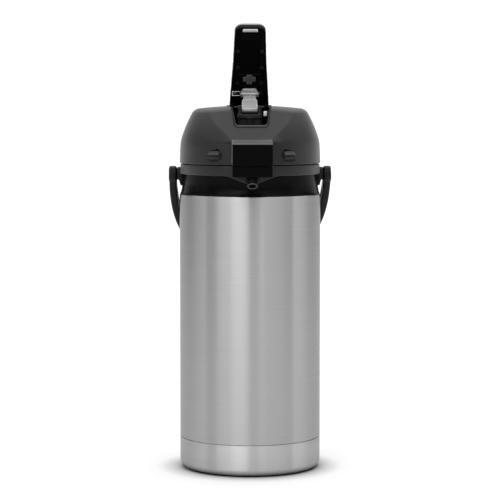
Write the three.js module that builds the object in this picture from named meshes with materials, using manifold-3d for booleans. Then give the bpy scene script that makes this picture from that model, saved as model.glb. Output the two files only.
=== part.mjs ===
// Thermal coffee airpot with a lever pump.
// Millimetres, +Z up, origin on the vessel's axis where the base pad rests, spout towards -Y.
import * as THREE from 'three';
import { mergeVertices } from 'three/addons/utils/BufferGeometryUtils.js';
import Module from 'manifold-3d';

const wasm = await Module();
wasm.setup();

// Vessel
const BODY_R = 82.5;
const SHELL_WALL = 0.9;
const SEAM_Z = 37;
const STEEL_TOP_Z = 321.5;
const LINER_R = 70;
const LINER_WALL = 1;
const LINER_FLOOR_Z = 31;
const NECK_R = 36.5;
const LIP_Z = 337.8;
const GAP = 0.3;
const BASE_FILLET = 16;
const PAD_R = 66;
const PAD_H = 2.5;

// Collar and bail
const COLLAR_R = 81.5;
const COLLAR_TOP_Z = 357;
const COLLAR_FLOOR_Z = 340.4;
const BAIL_Z = 346;
const BAIL_HEAD_R = 8.8;
const BAIL_IN_X = 86;
const BAIL_THICK = 9.4;
const BAIL_REACH = 140;
const BAIL_WIDTH = 17;
const BAIL_HANG = THREE.MathUtils.degToRad(41.4);
const BAIL_PIN_R = 4;

// Pour arm and spout
const STEM_R = 6;
const STEM_BORE_R = 4.6;
const ARM_HALF_W = 7;
const ARM_CHANNEL_R = 1.9;
const ARM_CHANNEL_Z = 343.5;
const BLOCK_CHANNEL_Z = 351;
const SNOUT_HALF_W = 22.7;
const SNOUT_Y = -112;
const SNOUT_FRONT_Z = 385;
const SNOUT_BACK_Z = 387;
const NOZZLE_Y = -99;
const NOZZLE_BORE_R = 3.8;
const NOZZLE_TILT = THREE.MathUtils.degToRad(33);
const NOZZLE_LENGTH = 13.4;
const BLOCK_Z = 346.4;

// Lid
const LID_R = 82.4;
const LID_Z = 358.3;
const LID_WALL = 2.6;
const DOME_Z = 426.3;
const FACET_TOP = { y: -33, z: 426.9 };
const FACET_FOOT = { y: -80.5, z: SNOUT_BACK_Z };
const HINGE_Y = 86;
const HINGE_Z = 358;
const TRAY_FLOOR_Z = 395;
const TRAY_WALL = 2;
const LATCH_AZIMUTH = THREE.MathUtils.degToRad(32.4);
const LATCH_Z = 368.9;
const LATCH_HALF_H = 5.2;
const LATCH_FACE_R = 86;
const PAN_Z = 350;

// Pump
const LEVER_Y = 40.5;
const LEVER_Z = 423;
const LEVER_RAISED = THREE.MathUtils.degToRad(57);
const LEVER_LENGTH = 110.5;
const LEVER_DEPTH = 7;
const LINK_TOP = { y: 29.7, z: 439 };
const LINK_FOOT = { y: 14, z: 419.8 };
const PIN_R = 2.7;
const FOOT_PIN_R = 2;
const PLATE_Z = 388.4;
const PLATE_R = 40;
const PUMP_Y = 8;
const BELLOWS_FOOT_Z = 352.3;

const ROUND = 40;
const SMALL_ROUND = 16;

const group = new THREE.Group();

// Materials
function finish(color, roughness, metalness) {
  return () => new THREE.MeshStandardMaterial({ color, roughness, metalness });
}
const brushedSteel = finish(0xb4b4b2, 0.32, 1);
const brightSteel = finish(0xd2d2d0, 0.15, 1);
const innerSteel = finish(0x9c9c9a, 0.4, 1);
const silver = finish(0xc8c8c8, 0.3, 0.9);
const charcoal = finish(0x3a3a3b, 0.55, 0);
const black = finish(0x141415, 0.4, 0);
const gloss = finish(0x0c0c0d, 0.15, 0);
const silicone = finish(0xd6d6d2, 0.7, 0);
const rubber = finish(0x1b1b1b, 0.85, 0);
const white = finish(0xf0f0ee, 0.4, 0);
const clear = finish(0xdedfe0, 0.35, 0);

// Solids
function toManifold(geometry) {
  const bare = geometry.clone();
  bare.deleteAttribute('normal');
  bare.deleteAttribute('uv');
  const merged = mergeVertices(bare, 1e-4);
  const vertProperties = new Float32Array(merged.attributes.position.array);
  const triVerts = new Uint32Array(merged.index.array);
  return new wasm.Manifold(new wasm.Mesh({ numProp: 3, vertProperties, triVerts }));
}

function toGeometry(solid) {
  const mesh = solid.getMesh();
  const geometry = new THREE.BufferGeometry();
  geometry.setAttribute('position', new THREE.BufferAttribute(new Float32Array(mesh.vertProperties), 3));
  geometry.setIndex(new THREE.BufferAttribute(new Uint32Array(mesh.triVerts), 1));
  return geometry;
}

function join(first, ...rest) {
  return toGeometry(rest.reduce((sum, next) => sum.add(toManifold(next)), toManifold(first)));
}

function cut(first, ...rest) {
  return toGeometry(rest.reduce((sum, next) => sum.subtract(toManifold(next)), toManifold(first)));
}

function common(first, second) {
  return toGeometry(toManifold(first).intersect(toManifold(second)));
}

// A profile of [radius, height] points, turned about +Z.
function lathe(points, segments = ROUND) {
  const profile = points.map(([r, z]) => new THREE.Vector2(r, z));
  return new THREE.LatheGeometry(profile, segments).rotateX(Math.PI / 2);
}

function ring(outer, inner, low, high, segments = ROUND) {
  return lathe([[inner, low], [outer, low], [outer, high], [inner, high], [inner, low]], segments);
}

function box(x, y, z) {
  const geometry = new THREE.BoxGeometry(x[1] - x[0], y[1] - y[0], z[1] - z[0]);
  return geometry.translate((x[0] + x[1]) / 2, (y[0] + y[1]) / 2, (z[0] + z[1]) / 2);
}

function pinZ(radius, low, high, x = 0, y = 0, segments = SMALL_ROUND) {
  const geometry = new THREE.CylinderGeometry(radius, radius, high - low, segments).rotateX(Math.PI / 2);
  return geometry.translate(x, y, (low + high) / 2);
}

function pinX(radius, low, high, y, z, segments = SMALL_ROUND) {
  const geometry = new THREE.CylinderGeometry(radius, radius, high - low, segments).rotateZ(Math.PI / 2);
  return geometry.translate((low + high) / 2, y, z);
}

// An outline of [y, z] points, pushed out along X to both sides.
function sideways(points, halfWidth) {
  const shape = new THREE.Shape(points.map(([y, z]) => new THREE.Vector2(y, z)));
  const geometry = new THREE.ExtrudeGeometry(shape, { depth: 2 * halfWidth, bevelEnabled: false });
  return geometry.rotateX(Math.PI / 2).rotateZ(Math.PI / 2).translate(-halfWidth, 0, 0);
}

// A plan outline of [x, y] points, pushed up between two heights.
function upwards(points, low, high) {
  const shape = new THREE.Shape(points.map(([x, y]) => new THREE.Vector2(x, y)));
  const geometry = new THREE.ExtrudeGeometry(shape, { depth: high - low, bevelEnabled: false });
  return geometry.translate(0, 0, low);
}

function arc(cx, cz, radius, from, to, steps) {
  const points = [];
  for (let i = 0; i <= steps; i += 1) {
    const a = THREE.MathUtils.degToRad(from + ((to - from) * i) / steps);
    points.push([cx + radius * Math.cos(a), cz + radius * Math.sin(a)]);
  }
  return points;
}

function add(name, geometry, material, parent = group) {
  const mesh = new THREE.Mesh(geometry, material());
  mesh.name = name;
  parent.add(mesh);
  return mesh;
}

class Helix extends THREE.Curve {
  constructor(radius, turns, height) {
    super();
    Object.assign(this, { radius, turns, height });
  }

  getPoint(t, target = new THREE.Vector3()) {
    const a = 2 * Math.PI * this.turns * t;
    return target.set(this.radius * Math.cos(a), this.radius * Math.sin(a), this.height * t);
  }
}

function coil(radius, wire, turns, height) {
  const section = new THREE.Shape(arc(0, 0, wire, 0, 300, 5).map(([x, y]) => new THREE.Vector2(x, y)));
  const path = new Helix(radius, turns, height);
  return new THREE.ExtrudeGeometry(section, { steps: turns * 12, extrudePath: path, bevelEnabled: false });
}

// Vessel: base, double steel wall and neck
function buildVessel() {
  add('base_pad', pinZ(PAD_R, 0, PAD_H, 0, 0, ROUND), rubber);

  const cupR = BODY_R - 0.1;
  const cupFloor = PAD_H + GAP;
  const cup = [
    [0, cupFloor],
    ...arc(cupR - BASE_FILLET, cupFloor + BASE_FILLET, BASE_FILLET, -90, 0, 6),
    [cupR, SEAM_Z - GAP],
    [cupR - 1.5, SEAM_Z - GAP],
    ...arc(cupR - BASE_FILLET, cupFloor + BASE_FILLET, BASE_FILLET - 1.5, 0, -90, 6),
    [0, cupFloor + 1.5],
  ];
  add('base_cup', lathe(cup), brushedSteel);

  const skirtR = BODY_R - 2.1;
  const inner = BODY_R - SHELL_WALL;
  const shell = [
    [skirtR - SHELL_WALL, 24],
    [skirtR, 24],
    [skirtR, SEAM_Z + GAP],
    [BODY_R, SEAM_Z + GAP],
    [BODY_R, STEEL_TOP_Z - 1.3],
    [BODY_R - 0.6, STEEL_TOP_Z - 0.3],
    [BODY_R - 1.5, STEEL_TOP_Z],
    [76, STEEL_TOP_Z + 0.1],
    [66, 325.5],
    [52, 331.5],
    [42, 335.2],
    [38.2, 336.5],
    [38.2, 335.4],
    [41.6, 334.2],
    [51.6, 330.5],
    [65.6, 324.6],
    [75.6, 320.6],
    [inner - 0.2, 320.4],
    [inner, 319.8],
    [inner, SEAM_Z + 1.2],
    [skirtR - SHELL_WALL, SEAM_Z + 1.2],
    [skirtR - SHELL_WALL, 24],
  ];
  add('outer_shell', lathe(shell), brushedSteel);
  add('shell_bottom', pinZ(skirtR - SHELL_WALL - GAP, 24, 25.2, 0, 0, ROUND), innerSteel);

  const out = LINER_R + LINER_WALL;
  const liner = [
    [0, LINER_FLOOR_Z - 1],
    [60, LINER_FLOOR_Z - 1],
    [68, 33],
    [out, 40],
    [out, 284],
    [68, 292],
    [55, 305],
    [42, 316],
    [NECK_R + 0.9, 322],
    [NECK_R + 0.9, LIP_Z - 0.9],
    [39.8, LIP_Z - 0.9],
    [39.8, LIP_Z],
    [NECK_R, LIP_Z],
    [NECK_R, 321.6],
    [41.3, 315.2],
    [54.2, 304.3],
    [67.2, 291.3],
    [LINER_R, 283.6],
    [LINER_R, 40.4],
    [67.2, 33.8],
    [59.6, LINER_FLOOR_Z],
    [0, LINER_FLOOR_Z],
  ];
  add('inner_liner', lathe(liner), innerSteel);
  add('neck_gasket', ring(39.8, NECK_R + 0.1, LIP_Z + GAP, 340.1), silicone);
  add('neck_ring', ring(47, 40.3, 336.6, COLLAR_FLOOR_Z), black);
}

// Collar: the ring that carries the bail and the lid's hinge
function buildCollar() {
  const profile = [
    [77.4, STEEL_TOP_Z + 0.4],
    [COLLAR_R - 0.4, STEEL_TOP_Z + 0.4],
    [COLLAR_R - 1.3, 327],
    [COLLAR_R - 1.4, 337],
    [COLLAR_R - 0.2, 343],
    [COLLAR_R, 346],
    [COLLAR_R, COLLAR_TOP_Z],
    [77, COLLAR_TOP_Z],
    [77, COLLAR_FLOOR_Z],
    [47.6, COLLAR_FLOOR_Z],
    [47.6, 337],
    [76.6, 337],
    [77.4, STEEL_TOP_Z + 0.4],
  ];
  const ears = [-1, 1].map((side) => {
    const x = side < 0 ? [-20, -14] : [14, 20];
    const web = box(x, [78.5, HINGE_Y + 4], [346, HINGE_Z]);
    return join(web, pinX(5, x[0], x[1], HINGE_Y, HINGE_Z));
  });
  const notch = box([-SNOUT_HALF_W, SNOUT_HALF_W], [-90, -60], [346, 360]);
  const armNotch = box([-ARM_HALF_W - 0.4, ARM_HALF_W + 0.4], [-90, -72], [COLLAR_FLOOR_Z, 347]);
  const pinHole = pinX(2.8, -21, 21, HINGE_Y, HINGE_Z);
  add('collar', cut(join(lathe(profile), ...ears), notch, armNotch, pinHole), charcoal);
  add('lid_hinge_pin', pinX(2.5, -19.5, 19.5, HINGE_Y, HINGE_Z), brightSteel);
}

// Bail: a flat strap bent to a rounded loop, hung on two side pivots
function superellipse(a, b, steps) {
  const points = [];
  const power = 2 / 2.5;
  for (let i = 0; i <= steps; i += 1) {
    const t = (Math.PI * i) / steps;
    const c = Math.cos(t);
    points.push([a * Math.sign(c) * Math.abs(c) ** power, -b * Math.sin(t) ** power]);
  }
  return points;
}

function buildBail() {
  const outX = BAIL_IN_X + BAIL_THICK;
  const half = BAIL_THICK / 2;
  const outer = superellipse(outX, BAIL_REACH + half, 28);
  const inner = superellipse(BAIL_IN_X, BAIL_REACH - half, 28).reverse();
  const shape = new THREE.Shape([...outer, ...inner].map(([x, y]) => new THREE.Vector2(x, y)));
  const strap = new THREE.ExtrudeGeometry(shape, { depth: BAIL_WIDTH, bevelEnabled: false });
  strap.translate(0, 0, -BAIL_WIDTH / 2).rotateX(Math.PI / 2);
  const heads = [-1, 1].map((side) => {
    const x = side < 0 ? [-outX, -BAIL_IN_X] : [BAIL_IN_X, outX];
    return pinX(BAIL_HEAD_R, x[0], x[1], 0, 0, 24);
  });
  const sockets = [-1, 1].map((side) => {
    const x = side < 0 ? [-outX + 2, -BAIL_IN_X + 1] : [BAIL_IN_X - 1, outX - 2];
    return pinX(BAIL_PIN_R + 0.3, x[0], x[1], 0, 0);
  });
  const bail = add('bail', cut(join(strap, ...heads), ...sockets), black);
  bail.position.set(0, 0, BAIL_Z);
  bail.rotation.x = BAIL_HANG;

  for (const [name, side] of [['bail_pivot_left', -1], ['bail_pivot_right', 1]]) {
    const boss = pinX(BAIL_HEAD_R, 81.8, BAIL_IN_X - 0.4, 0, BAIL_Z, 24);
    const pin = pinX(BAIL_PIN_R, 84, outX - 2.6, 0, BAIL_Z);
    const pivot = join(boss, pin);
    add(name, side < 0 ? pivot.rotateZ(Math.PI) : pivot, black);
  }
}

// Pour system: dip tube, head on the neck, arm through the collar, block and nozzle
function buildPour() {
  const head = pinZ(39.8, 340.4, 346.2, 0, 0, 32);
  const plug = pinZ(NECK_R - 1, 332, 341, 0, 0, 32);
  const arm = box([-ARM_HALF_W, ARM_HALF_W], [-81.8, -30], [340.9, 346.2]);
  const riser = box([-ARM_HALF_W, ARM_HALF_W], [-81.8, -75.2], [341.5, 357]);
  const halfBlock = SNOUT_HALF_W - 0.7;
  const block = box([-halfBlock, halfBlock], [SNOUT_Y - 1.5, -80.8], [BLOCK_Z, 357.6]);
  const solid = join(head, plug, arm, riser, block);
  const channel = join(
    pinZ(STEM_BORE_R, 330, ARM_CHANNEL_Z),
    pinZ(ARM_CHANNEL_R, -78.5, 0).rotateX(-Math.PI / 2).rotateZ(Math.PI).translate(0, 0, ARM_CHANNEL_Z),
    pinZ(ARM_CHANNEL_R, ARM_CHANNEL_Z - 1, BLOCK_CHANNEL_Z + 1, 0, -78),
    box([-2, 2], [NOZZLE_Y, -77], [BLOCK_CHANNEL_Z - 2, BLOCK_CHANNEL_Z + 2]),
    pinZ(NOZZLE_BORE_R, BLOCK_Z - 1, BLOCK_CHANNEL_Z + 2, 0, NOZZLE_Y),
  );
  const airHoles = [20, 60, 120, 160, 200, 240, 300, 340].map((degrees) => {
    const a = THREE.MathUtils.degToRad(degrees);
    return pinZ(1.7, 331, 347, 22 * Math.cos(a), 22 * Math.sin(a), 8);
  });
  add('pour_arm', cut(solid, channel, ...airHoles), black);
  add('stem_tube', ring(STEM_R, STEM_BORE_R, 34, 331.7, 24), clear);
  const foot = ring(STEM_R + 2, STEM_R + GAP, LINER_FLOOR_Z + 0.4, 46, 24);
  const slots = [0, 90].map((degrees) => {
    return box([-2, 2], [-12, 12], [30, 38]).rotateZ(THREE.MathUtils.degToRad(degrees));
  });
  add('stem_foot', cut(foot, ...slots), black);

  const cone = [
    [NOZZLE_BORE_R, -NOZZLE_LENGTH],
    [5.9, -NOZZLE_LENGTH],
    [9.2, 0],
    [9.2, 7],
    [NOZZLE_BORE_R, 7],
    [NOZZLE_BORE_R, -NOZZLE_LENGTH],
  ];
  const tilted = lathe(cone, 24).rotateX(-NOZZLE_TILT).translate(0, NOZZLE_Y, BLOCK_Z);
  add('nozzle', cut(tilted, box([-20, 20], [-130, -70], [BLOCK_Z - GAP, 360])), gloss);
}

// Lid: outer form, made once as a solid and hollowed
function lidForm(inset) {
  const side = new THREE.QuadraticBezierCurve(
    new THREE.Vector2(66.5, 418),
    new THREE.Vector2(77, 397),
    new THREE.Vector2(81.6, 379),
  );
  const wall = side.getPoints(7).map((p) => [p.x - inset, p.y - 0.4 * inset]);
  const profile = [
    [0, LID_Z - (inset ? 2 : 0)],
    [LID_R - inset, LID_Z - (inset ? 2 : 0)],
    [LID_R - inset, 370],
    ...wall.reverse(),
    [62.5 - inset, 421.5 - inset],
    [50, 423.8 - inset],
    [28, 425.7 - inset],
    [0, DOME_Z - inset],
  ];
  const drop = inset ? 3 : 0;
  const snout = sideways([
    [SNOUT_Y + inset, LID_Z - (inset ? 2 : 0)],
    [-60, LID_Z - (inset ? 2 : 0)],
    [-60, SNOUT_BACK_Z + 2 - inset],
    [SNOUT_Y + inset, SNOUT_FRONT_Z - inset],
  ].reverse(), SNOUT_HALF_W - inset);
  const above = sideways([
    [FACET_TOP.y, FACET_TOP.z - drop],
    [FACET_FOOT.y, FACET_FOOT.z - drop],
    [-130, SNOUT_FRONT_Z - 1.7 - inset],
    [-130, 450],
    [FACET_TOP.y, 450],
  ], 100);
  return cut(join(lathe(profile), snout), above);
}

// Plan of the lever well, narrow at the front and round at the back
function wellPlan(inset) {
  const back = 56 - inset;
  const wide = 28 - inset;
  const corner = 3;
  return [
    [-17.6 + inset, -62],
    [-14.6 + inset, -65 + inset],
    [14.6 - inset, -65 + inset],
    [17.6 - inset, -62],
    [22.4 - inset, -40],
    [wide, 0],
    [wide, back - corner],
    [wide - corner, back],
    [-wide + corner, back],
    [-wide, back - corner],
    [-wide, 0],
    [-22.4 + inset, -40],
  ];
}

function buildLid() {
  const opening = upwards(wellPlan(0), 385, 440);
  const latchHoles = [-1, 1].map((side) => {
    const height = [LATCH_Z - LATCH_HALF_H - 0.5, LATCH_Z + LATCH_HALF_H + 0.5];
    return box([-7.9, 7.9], [-90, -70], height).rotateZ(side * LATCH_AZIMUTH);
  });
  const earSlots = [[-20.6, -13.4], [13.4, 20.6]].map((x) => box(x, [77, 95], [355, 366]));
  const shell = cut(lidForm(0), lidForm(LID_WALL), opening, ...latchHoles, ...earSlots);
  const knuckle = join(
    box([-13, 13], [80.5, HINGE_Y], [HINGE_Z + 0.5, 363]),
    pinX(4.6, -13, 13, HINGE_Y, HINGE_Z),
  );
  const hole = pinX(2.8, -14, 14, HINGE_Y, HINGE_Z);
  const behind = box([-14, 14], [60, 83], [350, LID_Z - 0.1]);
  add('lid_shell', cut(join(shell, knuckle), hole, behind), charcoal);

  const cover = box([-SNOUT_HALF_W, SNOUT_HALF_W], [SNOUT_Y - 2.2, SNOUT_Y - GAP], [LID_Z, SNOUT_FRONT_Z]);
  add('spout_cover', cover, gloss);

  const bowl = cut(
    common(upwards(wellPlan(0.3), TRAY_FLOOR_Z - TRAY_WALL, 440), lidForm(0)),
    upwards(wellPlan(0.3 + TRAY_WALL), TRAY_FLOOR_Z, 440),
  );
  const rail = box([20.6, 26.5], [-2, 26], [411, 419]);
  const plungerWay = box([-15.6, 15.6], [4.2, 23.8], [390, 400]);
  const leverPinHole = pinX(2.8, -27, 27, LEVER_Y, LEVER_Z);
  const pinBosses = [[-26, -24], [24, 26]].map((x) => pinX(5, x[0], x[1], LEVER_Y, LEVER_Z - 1));
  const inLid = common(join(bowl, rail, ...pinBosses), lidForm(0));
  add('lever_tray', cut(inLid, plungerWay, leverPinHole), black);
  add('lever_hinge_pin', pinX(2.5, -26.6, 26.6, LEVER_Y, LEVER_Z), brightSteel);

  const pan = [
    [0, PAN_Z],
    [74, PAN_Z],
    [74.5, LID_Z + 0.3],
    [79.2, LID_Z + 0.3],
    [79.2, LID_Z + 2.2],
    [73, LID_Z + 2.2],
    [72.5, PAN_Z + 2],
    [0, PAN_Z + 2],
  ];
  const posts = [-1, 1].map((side) => {
    return box([-6, 6], [-59.6, -56.6], [PAN_Z + 1, LATCH_Z + 7]).rotateZ(side * LATCH_AZIMUTH);
  });
  const earRoom = [[-20.8, -13.2], [13.2, 20.8]].map((x) => box(x, [75.5, 95], [352, 366]));
  const valvePort = pinZ(6, 340, 360, 0, -20);
  add('lid_pan', cut(join(lathe(pan), ...posts), valvePort, ...earRoom), black);
  add('air_valve_flap', pinZ(8, PAN_Z - 1, PAN_Z - GAP, 0, -20, 24), silicone);
  add('lid_seal', ring(36, 30, 346.5, PAN_Z - GAP), silicone);
  for (let i = 0; i < 4; i += 1) {
    const a = THREE.MathUtils.degToRad(45 + 90 * i);
    const screw = pinZ(3, PAN_Z - 1.6, PAN_Z - GAP, 64 * Math.cos(a), 64 * Math.sin(a), 12);
    add(`lid_screw_${i + 1}`, screw, brightSteel);
  }
}

// Latch buttons in the lid's front, each with a small spring behind it
function buildLatches() {
  for (const [name, side] of [['left', -1], ['right', 1]]) {
    const frame = new THREE.Group();
    frame.rotation.z = side * LATCH_AZIMUTH;
    group.add(frame);
    const body = sideways([
      [-72, LATCH_Z - LATCH_HALF_H],
      [-72, LATCH_Z + LATCH_HALF_H],
      [1.5 - LATCH_FACE_R, LATCH_Z + LATCH_HALF_H],
      [-LATCH_FACE_R, LATCH_Z + 0.5],
      [-LATCH_FACE_R, LATCH_Z - LATCH_HALF_H],
    ], 7.5);
    add(`latch_button_${name}`, body, black, frame);
    const spring = add(`latch_spring_${name}`, coil(3.5, 0.5, 4, 10.4), brightSteel, frame);
    spring.position.set(0, -60.6, LATCH_Z);
    spring.rotation.x = Math.PI / 2;
  }
}

// Plan of the lever, root behind the hinge, tip towards -Y
function leverPlan(root, tip, inset) {
  const points = [[23.6 - inset, root], [20 - inset, -60]];
  const end = tip + 6;
  const right = [...points, [18 - inset, end], [16.2 - inset, tip + 1.8], [12 - inset, tip]];
  const left = right.map(([x, y]) => [-x, y]).reverse();
  return [...left, ...right].map(([x, y]) => [x, y]);
}

function buildPump() {
  const lever = new THREE.Group();
  lever.position.set(0, LEVER_Y, LEVER_Z);
  lever.rotation.x = -LEVER_RAISED;
  group.add(lever);

  const linkTop = new THREE.Vector3(0, LINK_TOP.y - LEVER_Y, LINK_TOP.z - LEVER_Z);
  linkTop.applyAxisAngle(new THREE.Vector3(1, 0, 0), LEVER_RAISED);
  const frameBody = upwards(leverPlan(8, -LEVER_LENGTH + 4, 0), 0, LEVER_DEPTH);
  const hingeLugs = [[-22.8, -18], [18, 22.8]].map((x) => pinX(6, x[0], x[1], 0, 0));
  const linkLugs = [[-15.5, -11.6], [11.6, 15.5]].map((x) => pinX(5.5, x[0], x[1], linkTop.y, linkTop.z));
  const linkRoom = box([-11.6, 11.6], [linkTop.y - 8.5, linkTop.y + 8.5], [-8, 5.3]);
  const rootRoom = box([-17.6, 17.6], [-9.5, 9], [-8, 5.3]);
  const pane = box([-10.5, 10.5], [-100, -46], [-1, 1.2]);
  const hingeHole = pinX(2.8, -25, 25, 0, 0);
  const linkHole = pinX(PIN_R + GAP, -21.4, 16, linkTop.y, linkTop.z);
  const solid = join(frameBody, ...hingeLugs, ...linkLugs);
  add('lever_frame', cut(solid, linkRoom, rootRoom, pane, hingeHole, linkHole), black, lever);

  const cap = join(
    upwards(leverPlan(-26, -LEVER_LENGTH, 1), LEVER_DEPTH + GAP, LEVER_DEPTH + 2.8),
    box([-11, 11], [-LEVER_LENGTH, -LEVER_LENGTH + 3.6], [2, LEVER_DEPTH + 1]),
  );
  add('lever_cap', cap, silver, lever);
  add('lever_grip_bar', box([-9, 9], [-105, -101.5], [-1.8, -GAP]), silver, lever);
  const pin = pinX(PIN_R, -21, 15.5, linkTop.y, linkTop.z);
  add('link_pin_upper', pin, brightSteel, lever);
  let count = 0;
  for (const x of [-14, 14]) {
    for (const y of [-78, -55.5, -34]) {
      count += 1;
      add(`lever_screw_${count}`, pinZ(2.3, -1.3, -GAP, x, y, 12), black, lever);
    }
  }

  const reach = Math.hypot(LINK_TOP.y - LINK_FOOT.y, LINK_TOP.z - LINK_FOOT.z);
  const link = new THREE.Group();
  link.position.set(0, LINK_TOP.y, LINK_TOP.z);
  link.rotation.x = -Math.atan2(LINK_TOP.y - LINK_FOOT.y, LINK_TOP.z - LINK_FOOT.z);
  group.add(link);
  const linkBody = join(
    pinX(5, -11, 11, 0, 0),
    box([-7.5, 7.5], [-3, 3], [-14, -3]),
    box([-9.2, 9.2], [-3, 3], [-reach, -12]),
    pinX(3.2, -9.2, 9.2, 0, -reach),
  );
  const holes = [pinX(PIN_R + GAP, -12, 12, 0, 0), pinX(FOOT_PIN_R + GAP / 2, -12, 12, 0, -reach)];
  add('link', cut(linkBody, ...holes), silver, link);
  add('link_pin_lower', pinX(FOOT_PIN_R, -13.2, 13.2, 0, -reach), brightSteel, link);

  const crosshead = box([-14, 14], [LINK_FOOT.y - 7, LINK_FOOT.y + 7], [409.5, 415]);
  const ears = [[-13.6, -9.8], [9.8, 13.6]].map((x) => {
    const ear = box(x, [LINK_FOOT.y - 6.6, LINK_FOOT.y + 6], [412, 425]);
    return cut(ear, box([x[0] - 1, x[1] + 1], [9.2, 16.5], [416.3, 422.7]));
  });
  const post = pinZ(7, PLATE_Z + 1, 411, 0, LINK_FOOT.y, 20);
  const plate = pinZ(PLATE_R, PLATE_Z, PLATE_Z + 3, 0, PUMP_Y, 32);
  add('plunger', join(crosshead, ...ears, post, plate), charcoal);

  const top = PLATE_Z - GAP;
  const folds = 5;
  const outside = [];
  const inside = [];
  for (let i = 0; i <= 2 * folds; i += 1) {
    const z = BELLOWS_FOOT_Z + ((top - BELLOWS_FOOT_Z) * i) / (2 * folds);
    const r = i % 2 ? 33 : 39;
    outside.push([r, z]);
    inside.push([r - 1.4, z]);
  }
  const walls = [...outside, ...inside.reverse(), outside[0]];
  add('bellows', lathe(walls, 32).translate(0, PUMP_Y, 0), rubber);
  const spring = add('return_spring', coil(22, 1.5, 4, 29), brightSteel);
  spring.position.set(0, PUMP_Y, BELLOWS_FOOT_Z + 2);

  add('lever_lock', box([16.2, 20.2], [6, 16], [412.6, 418.4]), white);
}

buildVessel();
buildCollar();
buildBail();
buildPour();
buildLid();
buildLatches();
buildPump();

export default group;
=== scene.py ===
"""Thermal coffee airpot: the looks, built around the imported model.

The builders work in millimetres, and piece() turns them into the frame's metres.
"""

import math

import bpy
import numpy as np
from mathutils import Euler, Matrix, Vector


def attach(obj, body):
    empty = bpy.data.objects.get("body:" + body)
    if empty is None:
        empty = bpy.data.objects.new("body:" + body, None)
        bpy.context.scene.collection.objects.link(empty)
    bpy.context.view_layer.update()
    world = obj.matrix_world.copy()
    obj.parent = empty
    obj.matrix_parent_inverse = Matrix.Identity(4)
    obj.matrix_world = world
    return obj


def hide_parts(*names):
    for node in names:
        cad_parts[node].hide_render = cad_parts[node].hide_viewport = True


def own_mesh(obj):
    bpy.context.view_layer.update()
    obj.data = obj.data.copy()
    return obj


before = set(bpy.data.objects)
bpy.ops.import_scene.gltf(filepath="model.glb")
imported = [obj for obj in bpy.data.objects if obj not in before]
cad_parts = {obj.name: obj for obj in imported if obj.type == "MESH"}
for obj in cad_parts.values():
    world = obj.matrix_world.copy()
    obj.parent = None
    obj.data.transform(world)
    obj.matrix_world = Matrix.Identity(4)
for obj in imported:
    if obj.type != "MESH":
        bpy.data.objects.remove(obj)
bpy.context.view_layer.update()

MM = 0.001
BODY_R = 82.5
SEAM_Z = 37.0
STEEL_TOP_Z = 322.2
COLLAR_TOP_Z = 357.0
LID_Z = 358.3
LID_R = 82.4
LID_WALL = 2.6
SNOUT_HALF_W = 22.7
SNOUT_Y = -112.0
BAIL_Z = 346.0
BAIL_HANG = math.radians(41.4)
HINGE = (86.0, 358.0)
LEVER_AXIS = (40.5, 423.0)
LEVER_RAISED = math.radians(57.0)
LEVER_LENGTH = 110.5
LINK_TOP = (29.7, 439.0)
LINK_FOOT = (14.0, 419.8)
LATCH_AZIMUTH = math.radians(32.4)
LATCH_Z = 368.9
PUMP_Y = 8.0
BELLOWS_FOOT_Z = 352.3
BELLOWS_TOP_Z = 388.1


# Camera ---------------------------------------------------------------------------------------------

CAMERA_AZIMUTH = math.radians(-1.5)
CAMERA_TILT = math.radians(4.457)
CAMERA_DISTANCE = 2.410
CAMERA_HEIGHT = 0.4435
SENSOR_WIDTH = 36.0
FOCAL_PIXELS = 2055.3
IMAGE_PIXELS = 500.0


def make_camera():
    data = bpy.data.cameras.new("camera")
    camera = bpy.data.objects.new("camera", data)
    bpy.context.scene.collection.objects.link(camera)
    data.sensor_width = SENSOR_WIDTH
    data.lens = SENSOR_WIDTH * FOCAL_PIXELS / IMAGE_PIXELS
    data.clip_end = 50.0
    camera.location = (
        CAMERA_DISTANCE * math.sin(CAMERA_AZIMUTH),
        -CAMERA_DISTANCE * math.cos(CAMERA_AZIMUTH),
        CAMERA_HEIGHT,
    )
    camera.rotation_euler = Euler((math.pi / 2 - CAMERA_TILT, 0.0, CAMERA_AZIMUTH), "XYZ")
    bpy.context.scene.camera = camera


make_camera()


# Materials ------------------------------------------------------------------------------------------

def shader(name, color, roughness, metallic=0.0, **sockets):
    """A Principled material; a keyword such as Sheen_Weight sets the socket Sheen Weight."""
    material = bpy.data.materials.new(name)
    material.use_nodes = True
    bsdf = material.node_tree.nodes["Principled BSDF"]
    bsdf.inputs["Base Color"].default_value = (*color, 1.0)
    bsdf.inputs["Roughness"].default_value = roughness
    bsdf.inputs["Metallic"].default_value = metallic
    for socket, value in sockets.items():
        bsdf.inputs[socket.replace("_", " ")].default_value = value
    return material, material.node_tree, bsdf


def node(tree, kind, **settings):
    made = tree.nodes.new(kind)
    for key, value in settings.items():
        setattr(made, key, value)
    return made


def object_point(tree, stretch):
    """Object coordinates, in metres, scaled along each axis."""
    place = node(tree, "ShaderNodeTexCoord")
    mapping = node(tree, "ShaderNodeMapping")
    mapping.inputs["Scale"].default_value = stretch
    tree.links.new(place.outputs["Object"], mapping.inputs["Vector"])
    return mapping.outputs["Vector"]


def noise(tree, vector, scale, detail=3.0):
    made = node(tree, "ShaderNodeTexNoise")
    made.inputs["Scale"].default_value = scale
    made.inputs["Detail"].default_value = detail
    tree.links.new(vector, made.inputs["Vector"])
    return made.outputs["Fac"]


def spread(tree, value, low, high):
    """Maps the middle of a texture's range, 0.3..0.7, onto low..high."""
    made = node(tree, "ShaderNodeMapRange")
    made.inputs["To Min"].default_value = low
    made.inputs["To Max"].default_value = high
    made.inputs["From Min"].default_value = 0.3
    made.inputs["From Max"].default_value = 0.7
    tree.links.new(value, made.inputs["Value"])
    return made.outputs["Result"]


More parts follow.
